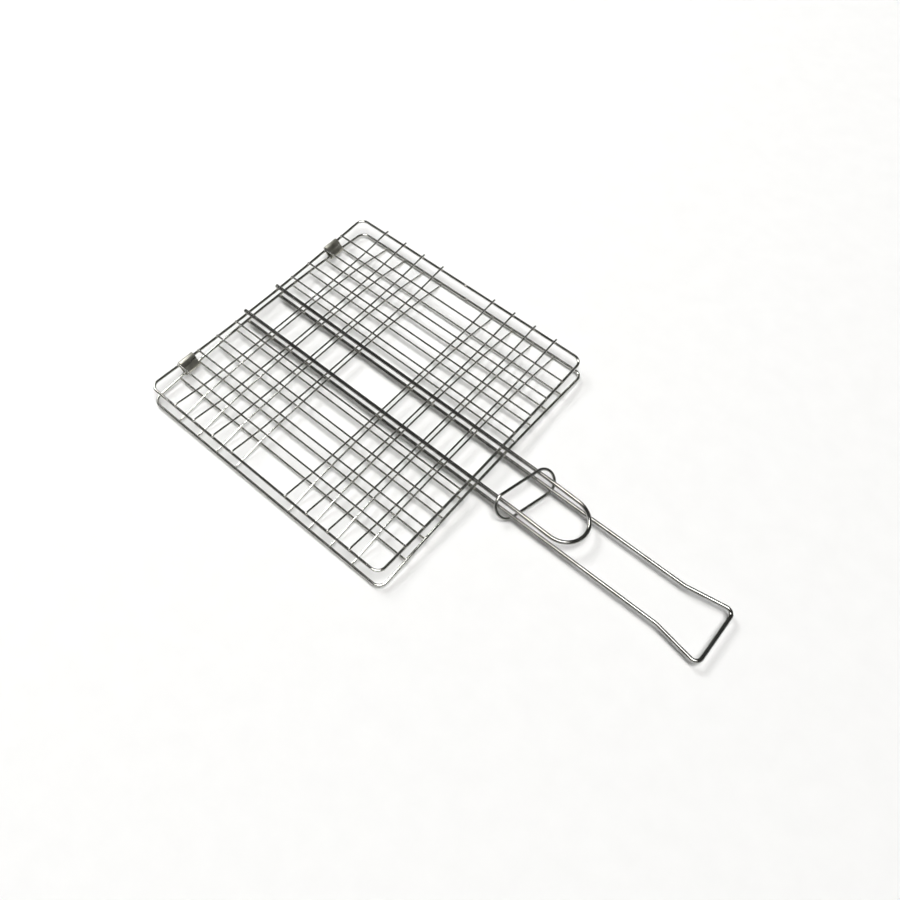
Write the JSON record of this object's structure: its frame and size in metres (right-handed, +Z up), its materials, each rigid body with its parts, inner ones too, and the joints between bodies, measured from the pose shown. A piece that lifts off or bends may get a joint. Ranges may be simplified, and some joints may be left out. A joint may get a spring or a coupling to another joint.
{
  "type": "grill basket",
  "caption": "Folding wire grill basket: two hinged chromed wire grids, each with a wire handle, held shut by a sliding wire ring.",
  "frame": {"origin": "middle of the bottom face of the closed basket's bounding box, on the surface it rests on", "axes": "+X from the hinge edge towards the handle's grip, +Y across the grids, +Z up through the closed grids"},
  "size_m": [0.5544, 0.3228, 0.0221],
  "materials": {
    "grid_chrome": "bright chrome-plated drawn steel wire with small weld marks at the crossings",
    "handle_chrome": "bright chrome-plated thick steel wire, faint drawing lines along it",
    "ring_chrome": "bright chrome-plated steel wire, butted seam in one bar",
    "clip_steel": "folded sheet steel, duller and slightly olive grey"
  },
  "bodies": {
    "lower_grid": {"lower_frame": "grid_chrome", "lower_handle": "handle_chrome", "lower_cross_wire_1": "grid_chrome", "lower_cross_wire_2": "grid_chrome", "lower_cross_wire_3": "grid_chrome", "lower_cross_wire_4": "grid_chrome", "lower_cross_wire_5": "grid_chrome", "lower_cross_wire_6": "grid_chrome", "lower_cross_wire_7": "grid_chrome", "lower_cross_wire_8": "grid_chrome", "lower_long_wire_1": "grid_chrome", "lower_long_wire_2": "grid_chrome", "lower_long_wire_3": "grid_chrome", "lower_long_wire_4": "grid_chrome", "lower_long_wire_5": "grid_chrome", "lower_long_wire_6": "grid_chrome", "lower_long_wire_7": "grid_chrome", "lower_long_wire_8": "grid_chrome"},
    "hinge_clips": {"hinge_clip_left": "clip_steel", "hinge_clip_right": "clip_steel"},
    "upper_grid": {"upper_frame": "grid_chrome", "upper_handle": "handle_chrome", "upper_cross_wire_1": "grid_chrome", "upper_cross_wire_2": "grid_chrome", "upper_cross_wire_3": "grid_chrome", "upper_cross_wire_4": "grid_chrome", "upper_cross_wire_5": "grid_chrome", "upper_cross_wire_6": "grid_chrome", "upper_cross_wire_7": "grid_chrome", "upper_cross_wire_8": "grid_chrome", "upper_long_wire_1": "grid_chrome", "upper_long_wire_2": "grid_chrome", "upper_long_wire_3": "grid_chrome", "upper_long_wire_4": "grid_chrome", "upper_long_wire_5": "grid_chrome", "upper_long_wire_6": "grid_chrome", "upper_long_wire_7": "grid_chrome", "upper_long_wire_8": "grid_chrome"},
    "locking_ring": {"locking_ring": "ring_chrome"}
  },
  "joints": [
    {"name": "clip_hinge", "type": "hinge", "parent": "lower_grid", "child": "hinge_clips", "pos_m": [-0.2673, -0.00075, 0.00834], "axis": [0, -1, 0], "range_deg": [0, 45.7]},
    {"name": "lid_hinge", "type": "hinge", "parent": "hinge_clips", "child": "upper_grid", "pos_m": [-0.2738, -0.00075, 0.01499], "axis": [0, -1, 0], "range_deg": [0, 134.3]},
    {"name": "ring_slide", "type": "slide", "parent": "lower_grid", "child": "locking_ring", "axis": [1, 0, 0], "range_m": [-0.02, 0.14]}
  ]
}
